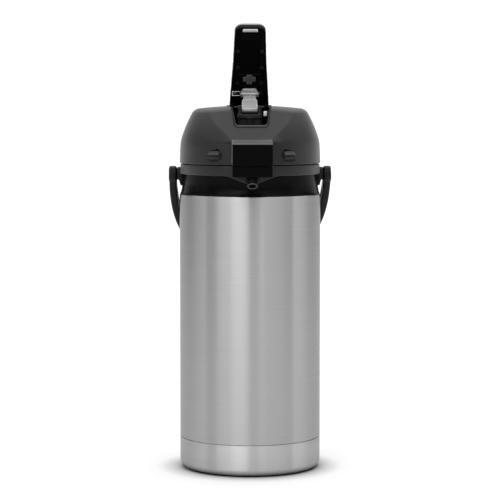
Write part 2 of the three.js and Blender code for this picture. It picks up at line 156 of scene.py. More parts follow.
def color_mix(tree, value):
    """A colour Mix node led by value, as its two colour inputs and its colour output."""
    made = node(tree, "ShaderNodeMix", data_type="RGBA")
    tree.links.new(value, made.inputs["Factor"])
    low, high = (socket for socket in made.inputs if socket.type == "RGBA")
    return low, high, next(socket for socket in made.outputs if socket.type == "RGBA")


def tint(tree, value, dark, light):
    """Goes from dark to light as value goes from 0 to 1."""
    low, high, mixed = color_mix(tree, value)
    low.default_value = (*dark, 1.0)
    high.default_value = (*light, 1.0)
    return mixed


def bump(tree, bsdf, height, distance, strength=1.0):
    made = node(tree, "ShaderNodeBump")
    made.inputs["Strength"].default_value = strength
    made.inputs["Distance"].default_value = distance
    tree.links.new(height, made.inputs["Height"])
    tree.links.new(made.outputs["Normal"], bsdf.inputs["Normal"])


MOTTLE = 0.12


def grained_plastic(name, color, roughness, specular, grain, depth, **sockets):
    """Moulded plastic: spark-eroded grain, faint mottling in colour and gloss."""
    material, tree, bsdf = shader(name, color, roughness, Specular_IOR_Level=specular, **sockets)
    point = object_point(tree, (1.0, 1.0, 1.0))
    fine = noise(tree, point, grain, 2.0)
    broad = noise(tree, point, 28.0, 4.0)
    dark = tuple(c * (1.0 - MOTTLE) for c in color)
    light = tuple(c * (1.0 + MOTTLE) for c in color)
    tree.links.new(tint(tree, broad, dark, light), bsdf.inputs["Base Color"])
    tree.links.new(spread(tree, broad, roughness - 0.03, roughness + 0.03), bsdf.inputs["Roughness"])
    bump(tree, bsdf, fine, depth)
    return material


def steel(name, color, roughness, around=True):
    """Stainless steel with fine brush lines that run round the body, or up and down it."""
    quarter_turn = 0.25 if around else 0.0
    material, tree, bsdf = shader(name, color, roughness, 1.0, Anisotropic=1.0,
                                  Anisotropic_Rotation=quarter_turn, Specular_Tint=(0.62, 0.62, 0.62, 1.0))
    fine = noise(tree, object_point(tree, (9.0, 9.0, 1900.0)), 1.0, 4.0)
    wide = noise(tree, object_point(tree, (4.0, 4.0, 260.0)), 1.0, 3.0)
    dark = tuple(c * 0.9 for c in color)
    light = tuple(min(1.0, c * 1.08) for c in color)
    tree.links.new(tint(tree, fine, dark, light), bsdf.inputs["Base Color"])
    tree.links.new(spread(tree, wide, roughness - 0.02, roughness + 0.02), bsdf.inputs["Roughness"])
    tangent = node(tree, "ShaderNodeTangent", direction_type="RADIAL", axis="Z")
    tree.links.new(tangent.outputs["Tangent"], bsdf.inputs["Tangent"])
    bump(tree, bsdf, fine, 0.000004, 0.3)
    return material


def smooth_finish(name, color, roughness, metallic=0.0, **sockets):
    """A smooth moulded or polished surface with slight unevenness in its gloss."""
    material, tree, bsdf = shader(name, color, roughness, metallic, **sockets)
    point = object_point(tree, (1.0, 1.0, 1.0))
    broad = noise(tree, point, 60.0, 3.0)
    tree.links.new(spread(tree, broad, roughness * 0.85, roughness * 1.2), bsdf.inputs["Roughness"])
    bump(tree, bsdf, noise(tree, point, 400.0, 2.0), 0.000006)
    return material


BRUSHED = steel("brushed_steel", (0.405, 0.405, 0.403), 0.3)
BASE_STEEL = steel("base_steel", (0.49, 0.49, 0.487), 0.32)
INNER = steel("inner_steel", (0.5, 0.5, 0.49), 0.38, around=False)
BRIGHT = smooth_finish("bright_steel", (0.72, 0.72, 0.72), 0.14, 1.0)
SILVER = smooth_finish("silver_plastic", (0.54, 0.54, 0.55), 0.3, 0.6)
CAP_SILVER = smooth_finish("cap_silver", (0.36, 0.36, 0.37), 0.36, 0.4)
# Bright steel pins given a dark colour: painted shade, for the pins that sit in shade under the lever and
# down in the well.
PAINTED_SHADE_STEEL = smooth_finish("painted_shade_steel", (0.06, 0.06, 0.062), 0.3, 1.0)
CHARCOAL = grained_plastic("charcoal_plastic", (0.0092, 0.0092, 0.0094), 0.42, 0.28, 1600.0, 0.00003,
                          Sheen_Weight=0.2, Sheen_Roughness=0.42)
BLACK = grained_plastic("black_plastic", (0.004, 0.004, 0.0041), 0.36, 0.15, 1800.0, 0.00002)
GLOSS = smooth_finish("gloss_black", (0.002, 0.002, 0.0021), 0.2, Specular_IOR_Level=0.03)
POLISHED = smooth_finish("polished_black", (0.0026, 0.0026, 0.0028), 0.22, Specular_IOR_Level=0.05)
# A lighter grey than the charcoal: on the spout's trim it paints the highlight along the top bevel of the
# spout's face; the lever's rib is in it too.
HIGHLIGHT_GREY = grained_plastic("highlight_grey_plastic", (0.05, 0.05, 0.0505), 0.34, 0.5, 1600.0, 0.00003)
# A lighter grey than the black plastic, for the rims of the nozzle's mouth and the well's front lip:
# painted highlights where those rims catch the light.
RIM_HIGHLIGHT = grained_plastic("rim_highlight_plastic", (0.02, 0.02, 0.0202), 0.34, 0.5, 1600.0, 0.00003)
CLEAR = smooth_finish("clear_plastic", (0.62, 0.64, 0.65), 0.3)
SILICONE = smooth_finish("silicone", (0.58, 0.58, 0.56), 0.55)
RUBBER = grained_plastic("rubber", (0.018, 0.018, 0.018), 0.8, 0.3, 900.0, 0.00006)
WHITE = smooth_finish("white_plastic", (0.82, 0.82, 0.81), 0.35)


# Meshes ---------------------------------------------------------------------------------------------

def piece(name, points, faces, material, body, slot, replaced=(), place=None, sharp=None):
    """A mesh from points in millimetres, set in place in the frame and riding on a body."""
    co = np.asarray(points, float) * MM
    if place is not None:
        matrix = np.array(place)
        co = co @ matrix[:3, :3].T + matrix[:3, 3]
    mesh = bpy.data.meshes.new(name)
    mesh.from_pydata(co.tolist(), [], [list(map(int, f)) for f in faces])
    mesh.validate()
    for polygon in mesh.polygons:
        polygon.use_smooth = True
    if sharp is not None:
        mesh.set_sharp_from_angle(angle=math.radians(sharp))
    mesh.materials.append(material)
    made = bpy.data.objects.new(name, mesh)
    bpy.context.scene.collection.objects.link(made)
    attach(made, body)
    if replaced:
        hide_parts(*replaced)
    return made


def rounded(corners, steps=5):
    """A line of [a, b, radius] corners with each corner turned into an arc."""
    out = []
    count = len(corners)
    for i, (a, b, radius) in enumerate(corners):
        here = np.array([a, b], float)
        before = np.array(corners[i - 1][:2], float) - here
        after = np.array(corners[(i + 1) % count][:2], float) - here
        if radius <= 0 or np.hypot(*before) < 1e-9 or np.hypot(*after) < 1e-9:
            out.append(here)
            continue
        u, v = before / np.hypot(*before), after / np.hypot(*after)
        angle = math.acos(float(np.clip(u @ v, -1.0, 1.0)))
        cut = min(radius / math.tan(angle / 2), 0.49 * np.hypot(*before), 0.49 * np.hypot(*after))
        real = cut * math.tan(angle / 2)
        centre = here + (u + v) / np.hypot(*(u + v)) * real / math.sin(angle / 2)
        start, end = here + u * cut - centre, here + v * cut - centre
        turn = math.atan2(start[0] * end[1] - start[1] * end[0], start @ end)
        for k in range(steps + 1):
            t = turn * k / steps
            c, s = math.cos(t), math.sin(t)
            out.append(centre + np.array([c * start[0] - s * start[1], s * start[0] + c * start[1]]))
    return [(float(p[0]), float(p[1])) for p in out]


def lathe_mesh(profile, segments=160, wobble=None):
    """Turns a closed profile of (radius, height) about +Z. Points on the axis become one point."""
    points, rings = [], []
    for r, z in profile:
        if r < 1e-6:
            rings.append([len(points)] * segments)
            points.append((0.0, 0.0, z))
            continue
        ring = []
        for k in range(segments):
            a = 2 * math.pi * k / segments
            rr, zz = wobble(r, z, a) if wobble else (r, z)
            ring.append(len(points))
            points.append((rr * math.sin(a), -rr * math.cos(a), zz))
        rings.append(ring)
    faces = []
    count = len(rings)
    closed = profile[0][0] > 1e-6
    for i in range(count if closed else count - 1):
        low, high = rings[i], rings[(i + 1) % count]
        for k in range(segments):
            n = (k + 1) % segments
            quad = [low[k], low[n], high[n], high[k]]
            seen = list(dict.fromkeys(quad))
            if len(seen) > 2:
                faces.append(seen)
    return points, faces


def lathe(name, corners, material, body, slot, replaced=(), segments=160, place=None, wobble=None, steps=5):
    """A piece turned about +Z from the closed outline of its section."""
    points, faces = lathe_mesh(rounded(corners, steps), segments, wobble)
    return piece(name, points, faces, material, body, slot, replaced, place, sharp=35)


def tube_mesh(line, radius, sides):
    """A round wire along a line of points."""
    line = [Vector(p) for p in line]
    points, faces = [], []
    for k, here in enumerate(line):
        ahead = (line[min(k + 1, len(line) - 1)] - line[max(k - 1, 0)]).normalized()
        out = Vector((0.02, 0.05, 1)).cross(ahead).normalized()
        up = ahead.cross(out)
        for n in range(sides):
            a = 2 * math.pi * n / sides
            points.append(here + radius * (math.cos(a) * out + math.sin(a) * up))
    for k in range(len(line) - 1):
        for n in range(sides):
            m = (n + 1) % sides
            faces.append((k * sides + n, k * sides + m, (k + 1) * sides + m, (k + 1) * sides + n))
    faces.append(tuple(reversed(range(sides))))
    faces.append(tuple((len(line) - 1) * sides + n for n in range(sides)))
    return [tuple(p) for p in points], faces


# Distance fields: each returns about the distance to a surface, below zero inside --------------------

def round_max(a, b, radius):
    """Where both solids are, with the outer edge between them rounded."""
    corner = np.hypot(np.maximum(a + radius, 0), np.maximum(b + radius, 0))
    return np.minimum(np.maximum(a, b), -radius) + corner


def round_min(a, b, radius):
    """Either solid, with a fillet where they meet."""
    return -round_max(-a, -b, radius)


def soft_box(x, y, z, centre, half, radius):
    """A box with rounded edges, from its centre and half-sizes."""
    qx = np.abs(x - centre[0]) - half[0] + radius
    qy = np.abs(y - centre[1]) - half[1] + radius
    qz = np.abs(z - centre[2]) - half[2] + radius
    outside = np.sqrt(np.maximum(qx, 0) ** 2 + np.maximum(qy, 0) ** 2 + np.maximum(qz, 0) ** 2)
    return outside + np.minimum(np.maximum(np.maximum(qx, qy), qz), 0) - radius


def soft_rod(along, across, low, high, rod_radius, edge):
    """A cylinder from low to high along an axis, given the distance from that axis."""
    a = across - rod_radius
    b = np.abs(along - (low + high) / 2) - (high - low) / 2
    return round_max(a, b, edge)


def polygon_distance(x, y, corners):
    """Distance to a plan outline, below zero inside."""
    best = np.full(np.shape(x), 1e9)
    sign = np.ones(np.shape(x))
    count = len(corners)
    for i in range(count):
        ax, ay = corners[i]
        bx, by = corners[i - 1]
        ex, ey = bx - ax, by - ay
        wx, wy = x - ax, y - ay
        t = np.clip((wx * ex + wy * ey) / (ex * ex + ey * ey), 0, 1)
        best = np.minimum(best, (wx - ex * t) ** 2 + (wy - ey * t) ** 2)
        above = y >= ay
        below = y < by
        left = ex * wy > ey * wx
        flip = (above & below & left) | (~above & ~below & ~left)
        sign = np.where(flip, -sign, sign)
    return sign * np.sqrt(best)


def line_distance(x, y, corners):
    """Distance to an open line of corners."""
    best = np.full(np.shape(x), 1e9)
    for (ax, ay), (bx, by) in zip(corners, corners[1:]):
        ex, ey = bx - ax, by - ay
        wx, wy = x - ax, y - ay
        t = np.clip((wx * ex + wy * ey) / (ex * ex + ey * ey + 1e-12), 0, 1)
        best = np.minimum(best, (wx - ex * t) ** 2 + (wy - ey * t) ** 2)
    return np.sqrt(best)


def net(field, low, high, cell):
    """A quad mesh of field = 0 inside a box, by dual surface nets, drawn onto the surface."""
    axes = [np.arange(lo - 2 * cell, hi + 3 * cell, cell) for lo, hi in zip(low, high)]
    x, y, z = np.meshgrid(*axes, indexing="ij")
    values = field(x, y, z)
    inside = values < 0
    shape = tuple(n - 1 for n in inside.shape)
    total = np.zeros(shape + (3,))
    count = np.zeros(shape)
    corner = [(i, j, k) for i in (0, 1) for j in (0, 1) for k in (0, 1)]

    def part(array, offset):
        return array[tuple(slice(o, o + n) for o, n in zip(offset, shape))]

    for a in corner:
        for axis in range(3):
            if a[axis]:
                continue
            b = tuple(v + (axis == n) for n, v in enumerate(a))
            va, vb = part(values, a), part(values, b)
            crosses = (va < 0) != (vb < 0)
            t = np.where(crosses, va / np.where(crosses, va - vb, 1.0), 0.0)
            for n in range(3):
                total[..., n] += crosses * (a[n] + (t if n == axis else 0.0))
            count += crosses
    used = count > 0
    index = np.full(shape, -1)
    index[used] = np.arange(int(used.sum()))
    cells = np.argwhere(used)
    points = (cells + total[used] / count[used][:, None]) * cell + np.array([a[0] for a in axes])
    faces = []
    for axis in range(3):
        u, v = (axis + 1) % 3, (axis + 2) % 3
        size = list(inside.shape)
        size[axis] -= 1
        first = [slice(None)] * 3
        second = [slice(None)] * 3
        first[axis], second[axis] = slice(0, -1), slice(1, None)
        change = inside[tuple(first)] != inside[tuple(second)]
        starts_in = inside[tuple(first)]
        at = np.argwhere(change)
        at = at[(at[:, u] > 0) & (at[:, v] > 0) & (at[:, u] < shape[u]) & (at[:, v] < shape[v])]
        step_u, step_v = np.eye(3, dtype=int)[u], np.eye(3, dtype=int)[v]
        quad = [at - step_u - step_v, at - step_v, at, at - step_u]
        ids = np.stack([index[tuple(q.T)] for q in quad], 1)
        outward = starts_in[tuple(at.T)]
        ids[~outward] = ids[~outward][:, ::-1]
        faces.append(ids)
    faces = np.concatenate(faces)
    for _ in range(3):
        points = onto(field, points, cell)
    return points, faces


def onto(field, points, cell):
    """One Newton step that moves points onto field = 0."""
    h = 0.2 * cell
    x, y, z = points.T
    here = field(x, y, z)
    slope = np.stack([
        field(x + h, y, z) - field(x - h, y, z),
        field(x, y + h, z) - field(x, y - h, z),
        field(x, y, z + h) - field(x, y, z - h),
    ], 1) / (2 * h)
    size = np.maximum((slope ** 2).sum(1), 0.05)
    step = slope * (here / size)[:, None]
    length = np.maximum(np.sqrt((step ** 2).sum(1)), 1e-12)
    return points - step * np.minimum(1.0, 0.5 * cell / length)[:, None]


def moulded(name, field, low, high, cell, material, body, slot, replaced=(), place=None):
    """A piece meshed from a distance field inside the box from low to high."""
    points, faces = net(field, low, high, cell)
    return piece(name, points, faces, material, body, slot, replaced, place)


def turned(origin_y, origin_z, angle):
    """The placement of a piece that is built about its own X axis, at an origin and an angle."""
    shift = Matrix.Translation((0.0, origin_y * MM, origin_z * MM))
    return shift @ Matrix.Rotation(angle, 4, "X")


# Vessel ---------------------------------------------------------------------------------------------

def build_vessel():
    lathe("steel_shell", [
        (79.5, 24, 0), (80.4, 24, 0), (80.4, SEAM_Z + 0.15, 0), (82.0, SEAM_Z + 0.15, 0.2),
        (BODY_R, SEAM_Z + 0.5, 0.3), (BODY_R, STEEL_TOP_Z - 0.1, 0.8), (78.5, STEEL_TOP_Z, 0.5),
        (66, 325.5, 4), (52, 331.5, 4), (42, 335.2, 2), (38.2, 336.5, 0), (38.2, 335.4, 0),
        (41.6, 334.2, 0),
        (51.6, 330.5, 0), (65.6, 324.6, 0), (77, 320.4, 0), (81.6, 319.5, 0), (81.6, SEAM_Z + 2.2, 0),
        (79.5, SEAM_Z + 2.2, 0),
    ], BRUSHED, "vessel", "brushed_steel", ["outer_shell"], segments=256)
    lathe("base_moulding", [
        (0, 2.8, 0), (58, 2.8, 0.6), (60, 1.9, 0.6), (66.6, 1.2, 1.2), (BODY_R - 0.1, 1.2, 9.8),
        (BODY_R - 0.1, SEAM_Z - 0.15, 0.3), (80.9, SEAM_Z - 0.15, 0), (80.9, 20, 8), (70, 5, 4), (0, 5, 0),
    ], BASE_STEEL, "vessel", "brushed_steel", ["base_cup"], segments=224, steps=12)
    rings = [(0, 1.2, 0)]
    for k in range(5):
        r = 14 + 10 * k
        rings += [(r, 1.2, 0.4), (r + 0.6, 0.5, 0.4), (r + 3, 0.5, 0.4), (r + 3.6, 1.2, 0.4)]
    rings += [(61, 1.2, 0.4), (62, 0, 0.5), (66, 0, 0.8), (66, 2.5, 0.5), (0, 2.5, 0)]
    lathe("foot_pad", rings, RUBBER, "vessel", "rubber", ["base_pad"], segments=128)
    lathe("liner", [
        (0, 30, 0), (71, 30, 10), (71, 286, 8), (37.4, 320, 6), (37.4, 336.9, 0), (39.8, 336.9, 0.3),
        (39.8, 337.8, 0.4), (36.5, 337.8, 0.4), (36.5, 319.8, 6), (70, 285.6, 8), (70, 31, 9), (0, 31, 0),
    ], INNER, "vessel", "inner_steel", ["inner_liner"], segments=128, steps=8)


DIP_DEPTH = 9.2
DIP_HALF_W = 35.0


def collar_drop(a):
    """How far the collar band's lower edge dips at azimuth a from the front."""
    x = BODY_R * math.sin(a)
    if math.cos(a) < 0 or abs(x) > DIP_HALF_W:
        return 0.0
    return DIP_DEPTH * math.cos(math.pi * x / (2 * DIP_HALF_W)) ** 2


def build_collar():
    def dipped(r, z, a):
        rise = float(np.clip((z - 322) / 23, 0, 1))
        share = rise * rise * (3 - 2 * rise) if z < 346 else (357 - z) / 11
        return r, z - collar_drop(a) * (share if r > 77.5 else 0.0)

    lathe("collar_ring", [
        (78, 345.6, 0), (81.5, 345.9, 0.9), (81.6, 347.5, 0), (81.6, 352, 0), (81.6, COLLAR_TOP_Z, 0.7),
        (77, COLLAR_TOP_Z, 0.5), (77, 340.4, 1.5), (47.6, 340.4, 0.6), (47.6, 337, 0.4), (76.6, 337, 0),
    ], CHARCOAL, "vessel", "charcoal_plastic", ["collar"], segments=256, wobble=dipped)
    waist = []
    for k in range(25):
        t = k / 24
        waist.append((79.3 + 1.9 * (1 - t) ** 4 + 0.3 * t * t, 323.6 + 21.9 * t, 0))
    # The neck under the band's lip is its own glossy black piece, darker than the charcoal band: partly a
    # real glossy black, partly painted shade under the lip.
    lathe("collar_neck", [
        (76.4, STEEL_TOP_Z + 0.3, 0), (81.8, STEEL_TOP_Z + 0.3, 0.6), *waist,
        (77.6, 345.5, 0), (77.6, 330, 0),
    ], POLISHED, "vessel", "gloss_black", segments=256, wobble=dipped)

    def ears(x, y, z):
        web = soft_box(x, y, z, (0, 84, 352), (20, 5.5, 7), 1.0)
        rod = soft_rod(x, np.hypot(y - HINGE[0], z - HINGE[1]), -20, 20, 5.0, 0.8)
        both = round_min(web, rod, 1.5)
        middle = soft_box(x, y, z, (0, 86, 360), (13.7, 12, 7.5), 0.4)
        return round_max(both, -middle, 0.4)

    moulded("hinge_ears", ears, (-21, 77, 344), (21, 92, 364), 0.6, CHARCOAL, "vessel", "charcoal_plastic")
    for side in (-1, 1):
        label = "left" if side < 0 else "right"

        def boss(x, y, z, side=side):
            radius = np.hypot(y, z - BAIL_Z)
            disc = soft_rod(side * x, radius, 79.5, 85.4, 7.6, 0.9)
            taper = np.interp(z, [BAIL_Z - 14, BAIL_Z], [0.0, 1.0])
            tail = round_max(np.abs(y) - 3.2 - 4.2 * taper, side * x - 81.6 - 3.4 * taper, 1.0)
            tail = np.maximum(np.maximum(tail, 79.0 - side * x), np.abs(z - BAIL_Z + 7) - 7)
            pin = soft_rod(side * x, radius, 80, 92.6, 4.0, 0.5)
            return round_min(round_min(disc, tail, 0.8), pin, 0.8)

        low = (79, -10, BAIL_Z - 24) if side > 0 else (-94, -10, BAIL_Z - 24)
        high = (94, 10, BAIL_Z + 10) if side > 0 else (-79, 10, BAIL_Z + 10)
        moulded(f"bail_boss_{label}", boss, low, high, 0.6, BLACK, "vessel", "black_plastic",
                [f"bail_pivot_{label}"])


def build_bail():
    steps = 72
    path = []
    for k in range(steps + 1):
        t = math.pi * k / steps
        c, s = math.cos(t), math.sin(t)
        path.append((90.2 * math.copysign(abs(c) ** 0.8, c), -140.0 * abs(s) ** 0.8))

    def strap(x, y, z):
        across = line_distance(x, z, path) - 4.5
        wide = np.abs(y) - 8.2
        band = round_max(across, wide, 2.2)
        groove = round_max(np.abs(y) - 5.0, line_distance(x, z, path) - 20, 0.5)
        inner = np.abs(x / 86.0) ** 2.5 + np.abs(z / 135.3) ** 2.5
        hollow = np.maximum(groove, (inner - 1.02) * 40)
        band = np.where((z < -24), round_max(band, -np.maximum(hollow, -(z + 150)), 0.6), band)
        radius = np.hypot(y, z)
        head = soft_rod(np.abs(x), radius, 86.1, 94.7, 8.7, 1.6)
        socket = soft_rod(np.abs(x), radius, 80, 93.2, 4.4, 0.2)
        return round_max(round_min(band, head, 2.0), -socket, 0.3)

    moulded("bail_strap", strap, (-97, -9, -146), (97, 9, 10), 0.9, BLACK, "bail", "black_plastic",
            ["bail"], turned(0, BAIL_Z, BAIL_HANG))


# Pour system ----------------------------------------------------------------------------------------

def build_pour():
    def block(x, y, z):
        body = soft_box(x, y, z, (0, -96.2, 351.7), (SNOUT_HALF_W - 0.2, 16.8, 6.0), 0.8)
        seam = np.abs(np.abs(x + 1.9) - 2.2) - 0.25
        groove = np.maximum(seam, y + 112.5)
        return round_max(body, -groove, 0.2)

    moulded("spout_block", block, (-24, -115, 345), (24, -79, 359), 0.6, GLOSS, "vessel", "gloss_black")

    def arm(x, y, z):
        head = soft_rod(z, np.hypot(x, y), 340.4, 346.0, 39.6, 0.8)
        for k in range(8):
            a = math.radians(20 + 45 * k)
            hole = np.hypot(x - 22 * math.cos(a), y - 22 * math.sin(a)) - 2.0
            head = round_max(head, -hole, 0.4)
        hub = soft_rod(z, np.hypot(x, y), 341, 349.3, 11.0, 1.2)
        bar = soft_box(x, y, z, (0, -56, 343.5), (7, 26, 2.7), 1.2)
        riser = soft_box(x, y, z, (0, -78.6, 349), (7, 3.2, 8), 0.8)
        return round_min(round_min(round_min(head, hub, 1.0), bar, 1.0), riser, 0.8)

    moulded("pour_head", arm, (-41, -83, 340), (41, 41, 358), 0.9, BLACK, "vessel", "black_plastic",
            ["pour_arm"])
    lathe("neck_grip", [(40.3, 336.6, 0.3), (47, 336.6, 0.4), (47, 340.4, 0.6), (40.3, 340.4, 0.4)],
          BLACK, "vessel", "black_plastic", ["neck_ring"], segments=128)

    spot = Matrix.Translation((0, -99 * MM, 346.4 * MM)) @ Matrix.Rotation(math.radians(-33), 4, "X")
    lathe("nozzle_tip", [
        (4.3, -12.2, 0), (5.7, -12.2, 0), (6.3, -11.2, 0.8), (9.0, 0.0, 1.5), (9.0, 6.5, 0), (4.3, 6.5, 0),
    ], POLISHED, "vessel", "gloss_black", ["nozzle"], segments=96, place=spot)
    # The ring round the nozzle's mouth is a lighter grey than the black nozzle: a painted highlight on its
    # rim.
    lathe("nozzle_rim", [
        (4.3, -13.4, 0.4), (5.9, -13.4, 0.6), (6.1, -12.1, 0.4), (4.3, -12.1, 0),
    ], RIM_HIGHLIGHT, "vessel", "black_plastic", segments=96, place=spot)


# Lid ------------------------------------------------------------------------------------------------

def lid_surface(x, y, z):
    """The lid's outer form with no bottom: band, convex cone, dome, sloped front panel and snout."""
    r = np.hypot(x, y)
    band = r - (LID_R - 0.036 * (z - LID_Z))
    rise = z - 383.5
    cone = (r - (81.3 - 0.27 * rise - 0.0042 * np.maximum(rise, 0) ** 2)) * 0.93
    flank = (0.56 * np.abs(x) - 0.72 * y + 0.385 * z - 220.55) / 0.99
    panel = (-y - 82.8 + 1.12 * (z - 385.0)) / 1.5
    dome = z - (425.3 - 0.00095 * r ** 2)
    beside = 0.79 * np.abs(x) + 0.613 * y
    wedge = round_max(np.maximum(flank, beside), 384.0 - z, 0.8)
    side = round_min(round_max(band, cone, 1.2), wedge, 1.2)
    form = round_max(round_max(side, panel, 0.6), dome, 4.4)
    top = z - (385.2 + 0.055 * (y - SNOUT_Y))
    box = round_max(np.abs(x) - SNOUT_HALF_W, top, 1.0)
    box = np.maximum(np.maximum(box, SNOUT_Y - y), y + 60.0)
    return round_min(form, box, 0.8)


WELL = [(-16.0, -64), (16.0, -64), (18.8, -61.0), (21.6, -40), (25.6, -6), (25.6, 53.5), (-25.6, 53.5),
        (-25.6, -6), (-21.6, -40), (-18.8, -61.0)]


def well(x, y):
    """Distance to the outline of the lever's well, seen from above."""
    return polygon_distance(x, y, WELL)


def latch_outline(inward, height):
    """A latch button seen face on: square towards the side of the lid, round towards the front."""
    nose = np.hypot(np.maximum(inward - 4.2, 0), height + 0.2) - 5.4
    return np.maximum(nose, -inward - 6.2)


def build_lid():
    def shell(x, y, z):
        outer = lid_surface(x, y, z)
        form = round_max(outer, LID_Z - z, 0.6)
        form = np.maximum(form, -(outer + LID_WALL))
        opening = well(x, y) - 0.7
        form = round_max(form, -opening, 0.5)
        for side in (-1, 1):
            c, s = math.cos(LATCH_AZIMUTH), side * math.sin(LATCH_AZIMUTH)
            u = x * c + y * s
            v = -x * s + y * c
            near = latch_outline(-u * side, z - LATCH_Z) - 0.45
            nose = np.hypot(-u * side - 4.4, z - LATCH_Z - 0.9) - 6.3
            hole = np.maximum(np.minimum(near, nose), v + 40.0)
            form = round_max(form, -hole, 0.3)
        ears = soft_box(np.abs(x), y, z, (17, 88, 358), (3.8, 10, 8), 0.5)
        return round_max(form, -ears, 0.3)

    moulded("lid_cover", shell, (-83, -113, 357.5), (83, 83, 427), 0.95, CHARCOAL, "lid",
            "charcoal_plastic", ["lid_shell"])

    def knuckle(x, y, z):
        web = soft_box(x, y, z, (0, 83, 360.6), (13, 3, 2.4), 0.6)
        rod = soft_rod(x, np.hypot(y - HINGE[0], z - HINGE[1]), -13, 13, 4.6, 0.6)
        return round_min(web, rod, 1.5)

    moulded("lid_knuckle", knuckle, (-14, 79, 352), (14, 92, 364), 0.6, CHARCOAL, "lid", "charcoal_plastic")

    def cover(x, y, z):
        return soft_box(x, y, z, (0, -112.2, 370.2), (SNOUT_HALF_W, 1.9, 11.7), 0.7)

    def trim(x, y, z):
        bar = soft_box(x, y, z, (0, -112.4, 383.9), (SNOUT_HALF_W, 1.7, 1.6), 0.4)
        slope = (z - 384.2 + 1.0 * (-y - 112.4)) / 1.414
        return round_max(bar, slope, 0.2)

    # The trim is charcoal plastic like the lid; its lighter grey is a painted highlight along the bevel.
    moulded("spout_trim", trim, (-23.5, -115, 381.5), (23.5, -110, 386), 0.35, HIGHLIGHT_GREY, "lid",
            "charcoal_plastic")
    moulded("spout_face", cover, (-23.5, -116, 357.5), (23.5, -110.5, 386), 0.5, GLOSS, "lid",
            "gloss_black", ["spout_cover"])

    def tray(x, y, z):
        surface = lid_surface(x, y, z)
        plan = well(x, y)
        lip = np.clip((-46.0 - y) / 8.0, 0.0, 1.0)
        outside = round_max(plan - 0.45 - 0.9 * lip, surface + 0.1 - 0.9 * lip, 0.3)
        body = np.maximum(outside, 393.0 - z)
        hollow = np.maximum(plan + 0.9, 395.0 - z)
        body = round_max(body, -hollow, 0.7)
        way = soft_box(x, y, z, (0, 14, 394), (15.6, 9.8, 8), 1.5)
        body = round_max(body, -way, 0.5)
        rail = soft_box(x, y, z, (23.0, 12, 415), (2.6, 14, 4), 0.6)
        return round_min(body, rail, 0.8)

    # The well's front lip is a rim in a lighter grey than the black tray: a painted highlight along the
    # lip.
    def edge(x, y, z):
        surface = lid_surface(x, y, z)
        near = np.hypot(well(x, y) - 0.6, surface - 0.7) - 0.75
        return np.maximum(near, y + 61.0)

    moulded("well_edge", edge, (-23, -68, 384), (23, -58, 404), 0.4, RIM_HIGHLIGHT, "lid", "black_plastic")
    moulded("lever_well", tray, (-30, -69, 392.5), (30, 58, 427.5), 0.8, BLACK, "lid",
            "black_plastic", ["lever_tray"])

    lathe("lid_underside", [
        (6, 350, 0.4), (28, 350, 0), (28, 349.2, 0.3), (29.5, 349.2, 0.3), (29.5, 350, 0.3), (37, 350, 0.3),
        (37, 349.2, 0.3), (38.5, 349.2, 0.3), (38.5, 350, 0.3), (73.6, 350, 1.5), (74.5, 358.6, 0.4),
        (79.2, 358.6, 0.5), (79.2, 360.5, 0.4), (73, 360.5, 0.5), (72.5, 352, 1.0), (6, 352, 0.4),
    ], BLACK, "lid", "black_plastic", ["lid_pan"], segments=192)


# Latches --------------------------------------------------------------------------------------------

def build_latches():
    for side in (-1, 1):
        label = "left" if side < 0 else "right"

        def button(x, y, z, side=side):
            inward = -x * side
            height = z - LATCH_Z
            outline = round_max(latch_outline(inward, height), -inward - 5.8, 0.4)
            depth = -y - 86.0
            shelf = (-y - 82.2 + (height - 4.4) * 0.95) / 1.38
            body = round_max(outline, round_max(depth, shelf, 0.6), 0.5)
            body = np.maximum(body, y + 72.0)
            for low in (-0.6, -4.4):
                groove = soft_box(x, y, height, (-side * 2.0, -86.0, low), (10.0, 3.4, 0.95), 0.2)
                body = round_max(body, -groove, 0.2)
            return body

        place = Matrix.Rotation(side * LATCH_AZIMUTH, 4, "Z")
        moulded(f"latch_{label}", button, (-11, -87, LATCH_Z - 6), (11, -71, LATCH_Z + 6), 0.35, CHARCOAL,
                f"latch_{label}", "black_plastic", [f"latch_button_{label}"], place)
        turns = [2 * math.pi * k / 24 for k in range(4 * 24 + 1)]
        line = [(3.4 * math.cos(a), -61.2 - 9.6 * a / turns[-1], LATCH_Z + 3.4 * math.sin(a))
                for a in turns]
        spring = piece(f"latch_coil_{label}", *tube_mesh(line, 0.5, 8), BRIGHT, "lid", "bright_steel",
                       [f"latch_spring_{label}"], place)
        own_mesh(spring)


# Lever and linkage ----------------------------------------------------------------------------------

def lever_half(y):
    """The lever's half-width at y, from its root at the hinge to its tip."""
    return np.interp(-y, [-8, 12, 60, LEVER_LENGTH], [23.7, 23.2, 20.0, 18.1])


